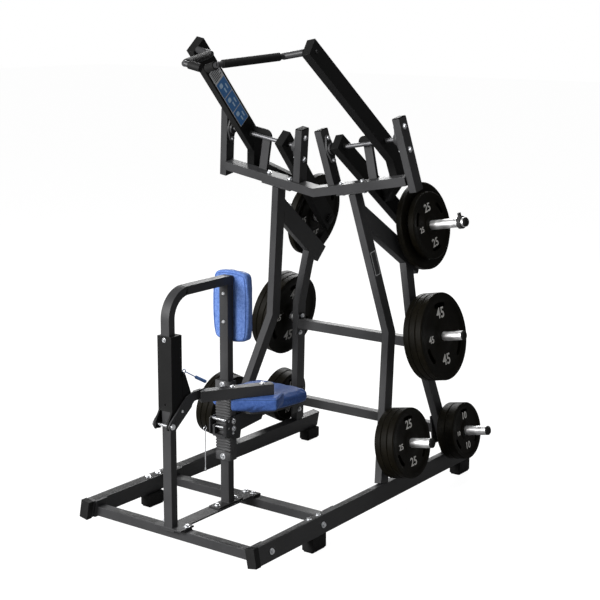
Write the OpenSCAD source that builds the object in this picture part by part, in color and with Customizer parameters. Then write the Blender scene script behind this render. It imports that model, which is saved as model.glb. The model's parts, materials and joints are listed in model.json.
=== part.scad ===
// Plate loaded lat pulldown with two independent arms, a chest pad, a seat and a thigh hold-down.
// Frame: X to the user's left hand side, Y to the tower, Z up, floor at Z = 0, millimetres.

/* [Base] */
// half width of the base at the rail centre lines
base_half = 499; // [420:5:560]
// front end of the rails
rail_front = -900; // [-1000:10:-850]
// rear end of the rails
rail_rear = 1000; // [900:10:1100]
// height of the rail section
rail_h = 86; // [70:5:120]
// thickness of the rail section
rail_w = 45; // [35:5:60]
// height of the rubber feet under the rails
foot_h = 68; // [40:2:90]

/* [Tower] */
// inward lean of both side frames
side_tilt = 10.5; // [5:0.5:15]
// forward lean of the top frame
top_lean = 10.5; // [5:0.5:15]
// in-plane depth of the leg tubes
leg_d = 64; // [50:2:80]
// thickness of the leg tubes
leg_t = 40; // [30:2:60]
// half length of the bent top bar
top_half = 584; // [480:2:620]
// height of the centre of the top bar
top_z = 1568; // [1450:2:1700]
// height of the arm axle above the top bar
axle_h = 200; // [160:5:240]

/* [Arms] */
// length of the weight lever from axle to horn
lever_len = 686; // [600:1:760]
// depth of the arm tubes
arm_d = 92; // [70:2:110]
// thickness of the arm tubes
arm_t = 45; // [35:1:55]
// forward reach of the handle end from the axle
reach_y = 396; // [340:2:440]
// rise of the handle end above the axle
reach_z = 545; // [480:5:620]

/* [Seat and pads] */
// seat pad width
seat_w = 356; // [260:4:360]
// seat height at rest
seat_z = 575; // [500:5:640]
// chest pad width
chest_w = 220; // [160:5:240]
// chest pad height
chest_h = 350; // [280:5:400]
// height of the top tube
top_tube_z = 1247; // [1150:1:1350]

/* [Weight plates] */
// radius of the large plates
r45 = 228; // [200:1:235]
// radius of the middle plates
r25 = 176; // [150:1:190]
// radius of the small plates
r10 = 149; // [110:1:160]
// thickness of one plate
plate_t = 36; // [28:1:50]
// radius of the weight horns
horn_r = 24.5; // [20:0.5:25]

/* [Hidden] */
$fn = 48;
wall = 3;
mid_y = 46.5;
rail_z = 156;
rail_in = -rail_w/2;
top_y = 285;
bar_h = 45;
post_y = -876;
post_d = 40;
post_w = 50;
mast_y = -462;
spine_top = 125;
cross_h = 48;
up_y = 13;
lever_a = 52.6;
horn_y = up_y + lever_len*cos(lever_a);
horn_z = axle_h - lever_len*sin(lever_a);
axle_r = 11;
inner_x = 213;
outer_x = 450;
// leg centre lines in the side plane, [y, height above the rail]
front_leg = [[158, 0], [410, 720], [285, 1446]];
rear_leg = [[813, 0], [642, 745], [660, 1060]];
diag_p = [347, 1304];
diag_q = [757, 1012];
diag_d = 96;

// ---------- frames and shared shapes ----------
module side() {
  translate([base_half, 0, rail_z]) rotate([0, -side_tilt, 0]) children();
}
module top() {
  translate([0, top_y, top_z]) rotate([top_lean, 0, 0]) rotate([0, -side_tilt, 0]) children();
}
module left() {
  mirror([1, 0, 0]) children();
}
module both() {
  children();
  left() children();
}
// the modules below measure Y from the rear edge of the seat, this puts the origin mid footprint
module centred() {
  translate([0, -mid_y, 0]) children();
}
// lies in the side plane: a flat outline given as [y, height], t thick about the plane
module flat(t) {
  rotate([90, 0, 90]) translate([0, 0, -t/2]) linear_extrude(t) children();
}
// offset of the joint between two legs of a bent tube, measured square to the bisector
function dirv(a, b) = (b - a)/norm(b - a);
function perp(v) = [-v[1], v[0]];
function bend_off(p, i, w) = let (u = dirv(p[i-1], p[i]), v = dirv(p[i], p[i+1]),
  m = perp(dirv([0, 0], u + v))) m*w/2/(m*perp(u));
module bent_outline(p, w) {
  a = perp(dirv(p[0], p[1]))*w/2;
  b = bend_off(p, 1, w);
  c = perp(dirv(p[1], p[2]))*w/2;
  polygon([p[0] + a, p[1] + b, p[2] + c, p[2] - c, p[1] - b, p[0] - a]);
}
module bar_outline(p, q, w) {
  a = perp(dirv(p, q))*w/2;
  polygon([p + a, q + a, q - a, p - a]);
}
// box section running from p to q, w wide and d deep before it is turned
module strut(p, q, w, d) {
  v = q - p;
  l = norm(v);
  translate(p) rotate([0, 0, atan2(v[1], v[0])]) rotate([0, acos(v[2]/l), 0])
    translate([-d/2, -w/2, 0]) cube([d, w, l]);
}
module hex_bolt(r, h, head) {
  cylinder(r = r*1.9, h = head*0.3);
  cylinder(r = r*1.6, h = head, $fn = 6);
  translate([0, 0, -h]) cylinder(r = r, h = h + head*0.1, $fn = 32);
}
module button(r, h) {
  difference() {
    cylinder(r1 = r, r2 = r*0.72, h = h);
    translate([0, 0, h*0.45]) cylinder(r = r*0.42, h = h, $fn = 6);
  }
}

// ---------- base ----------
module rail() {
  side() difference() {
    translate([rail_in, rail_front, -rail_h]) cube([rail_w, rail_rear - rail_front, rail_h]);
    translate([rail_in + wall, rail_front - 1, wall - rail_h])
      cube([rail_w - 2*wall, rail_rear - rail_front + 2, rail_h - 2*wall]);
  }
}
module right_rail() {
  color([0.1, 0.1, 0.11]) centred() rail();
}
module left_rail() {
  color([0.1, 0.1, 0.11]) centred() left() rail();
}
module end_cap() {
  side() {
    translate([rail_in + wall + 0.2, rail_front, wall + 0.2 - rail_h])
      cube([rail_w - 2*wall - 0.4, 22, rail_h - 2*wall - 0.4]);
    difference() {
      translate([-rail_w/2 - 2.5, rail_front - 8, -rail_h - 2.5])
        cube([rail_w + 5, 34, rail_h + 5]);
      translate([-rail_w/2 - 0.2, rail_front - 9, -rail_h - 0.2])
        cube([rail_w + 0.4, 60, rail_h + 0.4]);
    }
    translate([-rail_w/2 - 2.5, rail_front - 8, -rail_h - 2.5])
      cube([rail_w + 5, 8, rail_h + 5]);
  }
}
module rear_cap() {
  side() {
    translate([rail_in + wall + 0.2, rail_rear - 20, wall + 0.2 - rail_h])
      cube([rail_w - 2*wall - 0.4, 20, rail_h - 2*wall - 0.4]);
    translate([-rail_w/2, rail_rear, -rail_h]) cube([rail_w, 5, rail_h]);
  }
}
module rail_end_caps() {
  color([0.03, 0.03, 0.03]) centred() both() {
    end_cap();
    rear_cap();
  }
}
module strip(y0, y1) {
  side() translate([-15, y0, 0]) cube([30, y1 - y0, 1.2]);
}
module grip_strips() {
  color([0.05, 0.05, 0.05]) centred() {
    both() {
      strip(-850, -345);
      strip(-240, 60);
    }
    translate([-380, -836, cross_h + 70]) cube([260, 26, 1.2]);
    translate([120, -836, cross_h + 70]) cube([260, 26, 1.2]);
  }
}
module foot(y) {
  difference() {
    union() {
      translate([472, y - 55, 8]) cube([64, 110, foot_h + 12]);
      translate([477, y - 50, 0]) cube([54, 100, 8]);
    }
    side() translate([-200, -2000, -rail_h]) cube([400, 4000, 300]);
  }
}
module feet() {
  color([0.04, 0.04, 0.04]) centred() both() {
    foot(-424);
    foot(942);
  }
}
// tube across the base, its ends cut to the lean of the rails
module cross_tube(y0, y1, z0, z1) {
  difference() {
    translate([-560, y0, z0]) cube([1120, y1 - y0, z1 - z0]);
    translate([-570, y0 + wall, z0 + wall]) cube([1140, y1 - y0 - 2*wall, z1 - z0 - 2*wall]);
    both() side() translate([rail_in - 8, -2000, -400]) cube([300, 4000, 800]);
  }
  both() side() translate([rail_in - 8, y0 - 12, -rail_h]) cube([8, y1 - y0 + 24, rail_h]);
}
module front_cross_tube() {
  color([0.11, 0.11, 0.12]) centred() cross_tube(-848, -798, 72, 70 + cross_h);
}
module second_cross_tube() {
  color([0.11, 0.11, 0.12]) centred() cross_tube(-300, -240, 72, 66 + cross_h);
}
module spine_bar() {
  color([0.11, 0.11, 0.12]) centred() difference() {
    union() {
      translate([-40, -882, 70 + cross_h]) cube([80, 632, spine_top - 70 - cross_h]);
      translate([-80, -848, 70 + cross_h]) cube([160, 50, spine_top - 70 - cross_h]);
      translate([-48, -300, 66 + cross_h]) cube([96, 60, spine_top - 66 - cross_h]);
    }
    for (x = [-24, 24]) translate([x, -270, 80]) cylinder(r = 6.2, h = 80);
  }
}
// bolt with its head on a cross tube plate inside the rail
module rail_bolt(y, z) {
  side() translate([rail_w/2, y, z]) rotate([0, 90, 0]) {
    cylinder(r = 15, h = 2);
    cylinder(r = 10, h = 10, $fn = 6);
  }
}
module base_bolts() {
  color([0.75, 0.76, 0.78]) centred() {
    both() for (y = [-784, -386]) rail_bolt(y, -45);
    both() for (y = [-461, -387]) side() translate([0, y, 1.2]) {
      cylinder(r = 14, h = 2);
      cylinder(r = 10, h = 9, $fn = 6);
    }
    for (p = [[-66, -818], [66, -818], [0, -520], [0, -385], [-24, -270], [24, -270]])
      translate([p[0], p[1], p[1] > -300 ? spine_top : spine_top + 8]) {
        cylinder(r = 14, h = 2.5);
        cylinder(r = 10, h = 11, $fn = 6);
      }
  }
}

// ---------- post and mast ----------
bend_r = 140;
module front_post() {
  c = bend_r - post_d;
  color([0.12, 0.12, 0.13]) centred() {
    translate([-80, -881, spine_top]) cube([160, 96, 8]);
    difference() {
      union() {
        translate([-post_w/2, post_y, spine_top + 8])
          cube([post_w, post_d, top_tube_z - bend_r - spine_top - 8]);
        translate([0, post_y + bend_r, top_tube_z - bend_r]) rotate([0, 90, 0])
          translate([0, 0, -post_w/2]) rotate([0, 0, 180])
          rotate_extrude(angle = 90, $fn = 96) translate([c, 0]) square([post_d, post_w]);
        translate([-post_w/2, post_y + bend_r, top_tube_z - post_d])
          cube([post_w, mast_y + post_d - post_y - bend_r, post_d]);
      }
      translate([-post_w/2 + wall, mast_y, top_tube_z - post_d + wall])
        cube([post_w - 2*wall, 60, post_d - 2*wall]);
    }
  }
}
module mast() {
  color([0.12, 0.12, 0.13]) centred() {
    difference() {
      translate([-post_w/2, mast_y, spine_top + 8])
        cube([post_w, post_d, top_tube_z - post_d - spine_top - 8]);
      translate([-post_w/2 + wall, mast_y + wall, spine_top + 20])
        cube([post_w - 2*wall, post_d - 2*wall, top_tube_z - post_d - spine_top - 32]);
    }
    translate([-32, -545, spine_top]) cube([64, 185, 8]);
  }
}
chest_z = 1094;
rack_z0 = 350;
rack_z1 = 742;
rack_w = 86;
rack_t = 13;
rack_d = 52;
module ratchet_plate() {
  color([0.32, 0.32, 0.33]) centred() difference() {
    translate([-rack_w/2, mast_y - rack_t, rack_z0]) difference() {
      cube([rack_w, rack_d, rack_z1 - rack_z0]);
      translate([4, rack_t, -1]) cube([rack_w - 8, rack_d, rack_z1 - rack_z0 + 2]);
    }
    for (z = [rack_z0 + 42:14:rack_z1 - 50])
      translate([-rack_w/2 - 1, mast_y - rack_t - 1, z]) cube([rack_w + 2, 6.5, 7]);
    for (z = [rack_z0 + 18, rack_z1 - 18])
      translate([0, mast_y - 40, z]) rotate([-90, 0, 0]) cylinder(r = 6.05, h = 60);
  }
}
module mast_bolts() {
  color([0.78, 0.79, 0.8]) centred() for (z = [rack_z0 + 18, rack_z1 - 18])
    translate([0, mast_y - rack_t, z]) rotate([90, 0, 0]) {
      cylinder(r = 15, h = 2);
      button(11, 8);
      translate([0, 0, -rack_t]) cylinder(r = 6, h = rack_t + 1);
    }
  color([0.7, 0.71, 0.73]) centred() for (z = [chest_z - 66, chest_z + 70])
    translate([0, mast_y, z]) rotate([90, 0, 0]) button(9, 5);
}

// ---------- seat ----------
cheek_x = 46;
cheek_t = 7;
pin_y = -491;
module cheek_outline() {
  polygon([[-512, seat_z - 92], [-512, seat_z - 14], [-498, seat_z - 10], [-400, seat_z - 0.3],
    [-60, seat_z - 21.1], [-60, seat_z - 46], [-190, seat_z - 52], [-230, seat_z - 52], [-240, seat_z - 68],
    [-400, seat_z - 82], [-408, seat_z - 120], [-450, seat_z - 120], [-470, seat_z - 92]]);
}
module seat_carriage() {
  color([0.11, 0.11, 0.12]) centred() {
    for (s = [-1, 1]) difference() {
      translate([s*(cheek_x + cheek_t/2), 0, 0]) flat(cheek_t) cheek_outline();
      translate([s*(cheek_x + cheek_t/2) - 20, pin_y, seat_z - 18]) rotate([0, 90, 0])
        cylinder(r = 8, h = 40);
      translate([s*(cheek_x + cheek_t/2) - 20, pin_y, seat_z - 56]) rotate([0, 90, 0])
        cylinder(r = 6, h = 40);
    }
    translate([-cheek_x, -420, seat_z - 60]) cube([2*cheek_x, 34, 52]);
    translate([-cheek_x, -110, seat_z - 46]) cube([2*cheek_x, 40, 24]);
    translate([-cheek_x, -420, seat_z - 112]) cube([2*cheek_x, 9, 30]);
  }
}
module seat_pins() {
  color([0.82, 0.83, 0.85]) centred() {
    translate([-cheek_x - cheek_t + 2, pin_y, seat_z - 18]) rotate([0, 90, 0])
      cylinder(r = 7.95, h = 2*(cheek_x + cheek_t) - 4);
    translate([-cheek_x - cheek_t + 2, pin_y, seat_z - 56]) rotate([0, 90, 0])
      cylinder(r = 5.95, h = 2*(cheek_x + cheek_t) - 4);
    for (s = [-1, 1], p = [[-456, -26, 12], [-456, -62, 12], [-462, -84, 5]])
      translate([s*(cheek_x + cheek_t), p[0], seat_z + p[1]]) rotate([0, s*90, 0]) {
        cylinder(r = p[2]*1.25, h = 1.5);
        button(p[2], 6);
      }
  }
}
latch_y = -491;
latch_z = 519;
module seat_latch() {
  color([0.2, 0.2, 0.21]) centred() difference() {
    union() {
      translate([-38, latch_y - 12, latch_z - 40]) cube([12, 21, 50]);
      translate([26, latch_y - 12, latch_z - 40]) cube([12, 21, 50]);
      translate([-38, latch_y - 12, latch_z - 46]) cube([76, 18, 10]);
    }
    translate([-60, latch_y, seat_z - 56]) rotate([0, 90, 0]) cylinder(r = 6.02, h = 120);
  }
}
module seat_lanyard() {
  color([0.6, 0.61, 0.63]) centred() {
    translate([-64, -528, seat_z - 66]) rotate([0, 90, 0]) rotate_extrude()
      translate([10, 0]) circle(r = 2.2, $fn = 16);
    translate([-64, -528, 310]) cylinder(r = 2.3, h = seat_z - 77 - 310, $fn = 16);
    translate([-64, -528, 296]) cylinder(r = 4, h = 16, $fn = 24);
  }
}
// the seat leans back: everything above the cheeks turns about its front edge
seat_tilt = 3.5;
module seat_lean() {
  translate([0, -400, seat_z]) rotate([-seat_tilt, 0, 0]) translate([0, 400, 0]) children();
}
module seat_outline(g) {
  polygon([[-seat_w/2 + 66 + g, -418 + g], [seat_w/2 - 66 - g, -418 + g],
    [seat_w/2 - 40 - g, -398 + g], [seat_w/2 - g, -270], [seat_w/2 - g, -40 - g],
    [seat_w/2 - 18 - g, 6 - g], [seat_w/2 - 78 - g, 26 - g], [-seat_w/2 + 78 + g, 26 - g],
    [-seat_w/2 + 18 + g, 6 - g], [-seat_w/2 + g, -40 - g], [-seat_w/2 + g, -270],
    [-seat_w/2 + 40 + g, -398 + g]]);
}
module seat_board() {
  color([0.07, 0.07, 0.07]) centred() seat_lean() linear_extrude(12) seat_outline(26);
}
module seat_pad() {
  color([0.3, 0.42, 0.68]) centred() seat_lean() translate([0, 0, 12.5]) linear_extrude(56) seat_outline(0);
}

// ---------- chest pad ----------
module chest_board() {
  color([0.07, 0.07, 0.07]) centred() translate([-23, mast_y + post_d, chest_z - chest_h/2 + 30])
    cube([46, 6, chest_h - 60]);
}
module chest_pad() {
  color([0.3, 0.42, 0.68]) centred() translate([0, mast_y + post_d + 6.5, chest_z]) rotate([-90, 0, 0])
    linear_extrude(56) difference() {
      square([chest_w, chest_h], center = true);
      for (a = [-1, 1], b = [-1, 1]) translate([a*chest_w/2, b*chest_h/2]) rotate(45)
        square(48, center = true);
    }
}
// ---------- thigh hold-down ----------
sleeve_z0 = 690;
sleeve_z1 = 1037;
sleeve_w = 82;
sleeve_d = 72;
pivot_y = -893;
pivot_z = 628;
module thigh_sleeve() {
  sy = post_y - 5.5;
  color([0.09, 0.09, 0.1]) centred() {
    difference() {
      translate([-sleeve_w/2, sy, sleeve_z0]) cube([sleeve_w, sleeve_d, sleeve_z1 - sleeve_z0]);
      translate([-post_w/2 - 0.5, post_y - 0.5, sleeve_z0 - 1])
        cube([post_w + 1, post_d + 1, sleeve_z1 - sleeve_z0 + 2]);
      for (z = [sleeve_z0 + 30]) translate([0, sy - 1, z]) rotate([-90, 0, 0])
        cylinder(r = 4.5, h = 5);
    }
    for (s = [-1, 1]) difference() {
      translate([s*36.5, 0, 0]) flat(9) polygon([[sy, sleeve_z0], [sy + 58, sleeve_z0],
        [sy + 40, sleeve_z0 - 30], [sy + 2, pivot_z - 22], [sy - 30, pivot_z - 16],
        [sy - 30, pivot_z + 16]]);
      translate([s*36.5 - 20, pivot_y, pivot_z]) rotate([0, 90, 0]) cylinder(r = 8.05, h = 40);
    }
    translate([22.5, sy + sleeve_d - 1, 836]) cube([3.5, 16, 22]);
    translate([42, sy + sleeve_d - 1, 836]) cube([3.5, 16, 22]);
    translate([22.5, sy + sleeve_d + 8, 846]) rotate([0, 90, 0]) cylinder(r = 3, h = 23);
  }
}
module thigh_pivot_pin() {
  color([0.82, 0.83, 0.85]) centred() {
    translate([-54, pivot_y, pivot_z]) rotate([0, 90, 0]) cylinder(r = 8, h = 108);
    for (s = [-1, 1]) translate([s*52, pivot_y, pivot_z]) rotate([0, s*90, 0]) {
      cylinder(r = 14, h = 2.5);
      cylinder(r = 11.5, h = 8);
    }
    translate([0, post_y - 5.5, sleeve_z1 - 17]) rotate([90, 0, 0]) {
      cylinder(r = 11, h = 1.5);
      button(9, 7);
    }
  }
}
wing_a = 59;
wing_l = 350;
wing_p = [52, -690, 718];
module lever_outline() {
  polygon([[-912, 624], [-912, 634], [-902, 650], [-790, 745], [-745, 758], [-660, 758],
    [-660, 716], [-735, 714], [-752, 702], [-757, 690], [-868, 606], [-900, 604]]);
}
module short_outline() {
  polygon([[-912, 624], [-912, 634], [-902, 650], [-800, 736], [-750, 716], [-748, 694],
    [-868, 606], [-900, 604]]);
}
module thigh_lever() {
  color([0.11, 0.11, 0.12]) centred() {
    for (s = [-1, 1]) difference() {
      translate([s*47, 0, 0]) flat(8) {
        if (s > 0) lever_outline();
        else short_outline();
      }
      translate([s*47 - 20, pivot_y, pivot_z]) rotate([0, 90, 0]) cylinder(r = 8.1, h = 40);
    }
    translate([-43, -776, 682]) cube([86, 22, 24]);
    translate([20, -712, 720]) cube([28, 49, 32]);
    translate(wing_p) rotate([0, 0, wing_a]) difference() {
      translate([-10, -26, -16]) cube([wing_l + 10, 52, 52]);
      translate([45, -22, -17]) cube([wing_l - 35, 44, 49]);
    }
  }
}
latch_x = 34;
ring_y = -789;
ring_z = 862;
module lanyard_ring(r) {
  translate([latch_x, ring_y, ring_z]) rotate([0, 90, 0]) rotate_extrude()
    translate([10, 0]) circle(r = r, $fn = 16);
}
module thigh_latch() {
  sy = post_y - 5.5 + sleeve_d;
  color([0.06, 0.06, 0.07]) centred() difference() {
    translate([latch_x, 0, 0]) flat(14) polygon([[sy + 4, 862], [sy + 13, 862], [sy + 24, 846],
      [-740, 730], [-742, 718], [sy + 1.5, 718], [sy + 1.5, 838]]);
    translate([10, sy + 8, 846]) rotate([0, 90, 0]) cylinder(r = 3.05, h = 50);
    lanyard_ring(2.8);
  }
}
module rod(p, q, r) {
  v = q - p;
  translate(p) rotate([0, 0, atan2(v[1], v[0])]) rotate([0, acos(v[2]/norm(v)), 0])
    cylinder(r = r, h = norm(v));
}
module thigh_lanyard() {
  color([0.25, 0.4, 0.7]) centred() {
    lanyard_ring(2);
    rod([latch_x, ring_y + 9, ring_z - 3], [latch_x, -704, 816], 2.4);
    rod([latch_x, -706, 817], [latch_x, -640, 782], 8);
  }
}
module thigh_pad() {
  color([0.3, 0.42, 0.68]) centred() translate(wing_p) rotate([0, 0, wing_a])
    translate([260, 0, -78]) rotate(-22) linear_extrude(61.5) polygon([[-112, -60], [-104, -68],
      [104, -68], [113, -60], [145, 60], [138, 68], [-78, 68], [-112, 38]]);
}
module thigh_bolts() {
  color([0.72, 0.73, 0.75]) centred() {
    for (s = [150, 300]) translate(wing_p) rotate([0, 0, wing_a]) translate([s, 0, 36]) {
      cylinder(r = 12, h = 2);
      button(10, 8);
    }
    for (s = [-1, 1]) translate([s*51, -822, 684]) rotate([0, s*90, 0]) button(7, 4);
  }
}

// ---------- tower ----------
module front_leg_shape() {
  difference() {
    side() difference() {
      flat(leg_t) bent_outline(front_leg, leg_d);
      flat(leg_t - 2*wall) bent_outline(front_leg, leg_d - 2*wall);
      translate([-50, -100, -100]) cube([100, 600, 100]);
    }
    top() translate([-100, -300, -bar_h/2 - 8]) cube([900, 600, 300]);
  }
  top() difference() {
    translate([141, -leg_d/2, -bar_h/2 - 8]) cube([180, leg_d, 8]);
    for (x = [165, 297]) translate([x, 0, -60]) cylinder(r = 6.5, h = 60);
  }
}
module right_front_leg() {
  color([0.12, 0.12, 0.13]) centred() front_leg_shape();
}
module left_front_leg() {
  color([0.12, 0.12, 0.13]) centred() left() front_leg_shape();
}
module diag_outline() {
  bar_outline([diag_p[0] - 60, diag_p[1] + 42.7], diag_q, diag_d);
}
module rear_leg_shape() {
  side() difference() {
    flat(leg_t) difference() {
      bent_outline(rear_leg, leg_d);
      diag_outline();
      translate([400, -400]) square([800, 400]);
      translate([500, 1120]) square([800, 400]);
    }
    flat(leg_t - 2*wall) difference() {
      bent_outline(rear_leg, leg_d - 2*wall);
      bar_outline(diag_p, diag_q, diag_d + 12);
      translate([400, -400]) square([800, 400 + 6]);
    }
  }
}
module right_rear_leg() {
  color([0.12, 0.12, 0.13]) centred() rear_leg_shape();
}
module left_rear_leg() {
  color([0.12, 0.12, 0.13]) centred() left() rear_leg_shape();
}
module diagonal() {
  side() difference() {
    flat(leg_t) difference() {
      diag_outline();
      bent_outline(front_leg, leg_d);
      translate([0, 800]) square([300, 800]);
    }
    flat(leg_t - 2*wall) difference() {
      bar_outline(diag_p, [diag_q[0] - 8, diag_q[1] + 5.7], diag_d - 2*wall);
      bent_outline(front_leg, leg_d + 10);
    }
  }
}
module right_diagonal() {
  color([0.12, 0.12, 0.13]) centred() diagonal();
}
module left_diagonal() {
  color([0.12, 0.12, 0.13]) centred() left() diagonal();
}
// rubber block on the upper edge of the diagonal, its top set to the lever above it
bump_a = -35.5;
module bumper() {
  side() translate([0, diag_q[0], diag_q[1]]) rotate([bump_a, 0, 0])
    flat(38) polygon([[-86, diag_d/2], [-22, diag_d/2], [-22, diag_d/2 + 58],
      [-84, diag_d/2 + 66]]);
}
module stop_bumpers() {
  color([0.03, 0.03, 0.03]) centred() both() bumper();
}
// tube across the tower between the inner faces of the rear legs
module tower_tube(y0, y1, z0, z1) {
  difference() {
    translate([-500, y0, z0]) cube([1000, y1 - y0, z1 - z0]);
    translate([-510, y0 + wall, z0 + wall]) cube([1020, y1 - y0 - 2*wall, z1 - z0 - 2*wall]);
    both() side() translate([-leg_t/2 - 8, -2000, -400]) cube([300, 4000, 2000]);
  }
}
module rear_cross_frame() {
  color([0.12, 0.12, 0.13]) centred() {
    tower_tube(620, 666, 744, 795);
    tower_tube(726, 772, 270, 320);
    both() side() {
      translate([-leg_t/2 - 4, 0, 0]) flat(8) polygon([[622, 560], [682, 560], [682, 680],
        [622, 680]]);
      translate([-leg_t/2 - 4, 0, 0]) flat(8) polygon([[712, 60], [802, 60], [792, 208],
        [726, 208]]);
    }
  }
}
module side_bolt(y, z, d) {
  side() translate([d*(leg_t/2 + (d < 0 ? 8 : 0)), y, z]) rotate([0, d*90, 0]) {
    cylinder(r = 14, h = 2);
    cylinder(r = 10, h = 9, $fn = 6);
  }
}
module tower_bolts() {
  color([0.75, 0.76, 0.78]) centred() both() {
    side_bolt(650, 672, -1);
    side_bolt(656, 572, -1);
    side_bolt(776, 76, -1);
    side_bolt(750, 191, -1);
    flange_bolt_pair(up_in + 20, 1);
    flange_bolt_pair(top_half - 20, -1);
    top() for (x = [165, 297]) {
      translate([x, 0, bar_h/2]) {
        cylinder(r = 14, h = 2);
        cylinder(r = 10, h = 9, $fn = 6);
      }
      translate([x, 0, -bar_h/2 - 8]) mirror([0, 0, 1]) {
        cylinder(r = 13, h = 2);
        cylinder(r = 9.5, h = 8, $fn = 6);
      }
    }
  }
}

// ---------- top frame ----------
module half_bar() {
  top() difference() {
    translate([-60, -leg_d/2, -bar_h/2]) cube([60 + top_half - 20, leg_d, bar_h]);
    translate([-70, -leg_d/2 + wall, -bar_h/2 + wall])
      cube([900, leg_d - 2*wall, bar_h - 2*wall]);
  }
}
module top_bar() {
  color([0.14, 0.14, 0.15]) centred() both() intersection() {
    half_bar();
    translate([0, -500, 1000]) cube([1000, 1500, 1500]);
  }
}
up_in = 114;
up_h = 300;
module upright_pair() {
  top() translate([0, up_y, 0]) {
    translate([up_in - 20, -leg_d/2, bar_h/2]) difference() {
      cube([40, leg_d, up_h - bar_h/2]);
      translate([wall, wall, -1]) cube([40 - 2*wall, leg_d - 2*wall, up_h - bar_h/2 - 3]);
      translate([wall + 1, leg_d/2, axle_h - bar_h/2]) rotate([0, 90, 0])
        cylinder(r = 16, h = 60);
    }
    translate([top_half - 20, -leg_d/2, -62]) difference() {
      cube([40, leg_d, up_h + 62]);
      translate([wall, wall, wall]) cube([40 - 2*wall, leg_d - 2*wall, up_h + 62 - 2*wall]);
      translate([-10, leg_d/2, axle_h + 62]) rotate([0, 90, 0]) cylinder(r = 16, h = 30);
    }
    // leaning post on the rear half of the bar, its head just behind the axle
    translate([350, -up_y, 0]) flat(48) polygon([[14, bar_h/2], [leg_d/2, bar_h/2],
      [56, axle_h - 14], [38, axle_h - 14]]);
    translate([up_in, 0, 0]) flat(8) polygon([[leg_d/2, bar_h/2], [leg_d/2, bar_h/2 + 60],
      [leg_d/2 + 30, bar_h/2 - 30], [leg_d/2 - up_y, bar_h/2 - 30], [leg_d/2 - up_y, bar_h/2]]);
  }
}
module uprights() {
  color([0.12, 0.12, 0.13]) centred() both() upright_pair();
}
flange_t = 24;
module flange(x, s) {
  top() translate([x, up_y, axle_h]) rotate([0, s*90, 0]) difference() {
    union() {
      hull() {
        cylinder(r = 33, h = 12, $fn = 32);
        for (b = [-57, 57]) translate([b, 0, 0]) cylinder(r = 15, h = 12, $fn = 32);
      }
      cylinder(r = 28, h = flange_t);
    }
    translate([0, 0, -1]) cylinder(r = axle_r + 0.02, h = flange_t + 2);
    for (b = [-57, 57]) translate([b, 0, -1]) cylinder(r = 7, h = 20);
  }
}
module bearing_flanges() {
  color([0.16, 0.16, 0.17]) centred() both() {
    flange(up_in + 20, 1);
    flange(top_half - 20, -1);
  }
}
module flange_bolt_pair(x, s) {
  top() for (b = [-57, 57]) translate([x, up_y, axle_h + b]) {
    translate([s*12, 0, 0]) rotate([0, s*90, 0]) {
      cylinder(r = 11, h = 2);
      cylinder(r = 9, h = 8, $fn = 6);
    }
    translate([-s*40, 0, 0]) rotate([0, -s*90, 0]) {
      cylinder(r = 15, h = 2);
      button(12, 9);
    }
  }
}
module arm_axles() {
  color([0.6, 0.61, 0.63]) centred() both() top() translate([up_in + 8, up_y, axle_h]) rotate([0, 90, 0])
    cylinder(r = axle_r, h = top_half - up_in - 16);
}

// ---------- arms ----------
hub_r = 15;
hub_l = arm_t + 16;
gusset_x = 345;
knee = [outer_x + 2, 86, 112];
fall = [outer_x + 2, 88, 4];
join = [inner_x + 16, 256, -122];
tip = [outer_x + 26, -reach_y, axle_h + reach_z];
module arm_shape() {
  difference() {
    union() {
      // a hub through the lever and one through the beam, the axle is bare between them
      for (x = [inner_x, outer_x]) translate([x - hub_l/2, up_y, axle_h]) rotate([0, 90, 0])
        cylinder(r = hub_r, h = hub_l);
      // weight lever, flat in its own plane, square ended above the axle
      translate([inner_x, 0, 0]) flat(arm_t)
        bar_outline([up_y - 46*cos(lever_a), axle_h + 46*sin(lever_a)],
          [horn_y + 42*cos(lever_a), horn_z - 42*sin(lever_a)], arm_d - 4);
      // handle beam from the knee past the axle to its upper end
      strut(knee, tip, arm_t, arm_d);
      // short lower run that carries the beam into the weight lever
      strut(fall, knee + [0, -3, 26], arm_t, arm_d - 6);
      strut(join, fall + [14, -6, 10], arm_t, arm_d - 22);
      // round ended gusset plate on the beam, just behind the axle
      translate([gusset_x, up_y + 20, axle_h]) rotate([90, 0, 0]) linear_extrude(7)
        intersection() {
          union() {
            translate([0, 2]) circle(r = 36);
            translate([0, -34]) square([outer_x - gusset_x, 72]);
          }
          translate([-40, -4]) square([outer_x, 50]);
        }
    }
    translate([inner_x - hub_l, up_y, axle_h]) rotate([0, 90, 0])
      cylinder(r = axle_r + 0.05, h = outer_x - inner_x + 2*hub_l);
    translate([inner_x - 60, horn_y, horn_z]) rotate([0, 90, 0])
      cylinder(r = 16.02, h = 120);
  }
}
module right_arm() {
  color([0.1, 0.1, 0.11]) centred() top() arm_shape();
}
module left_arm() {
  color([0.1, 0.1, 0.11]) centred() left() top() arm_shape();
}
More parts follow.
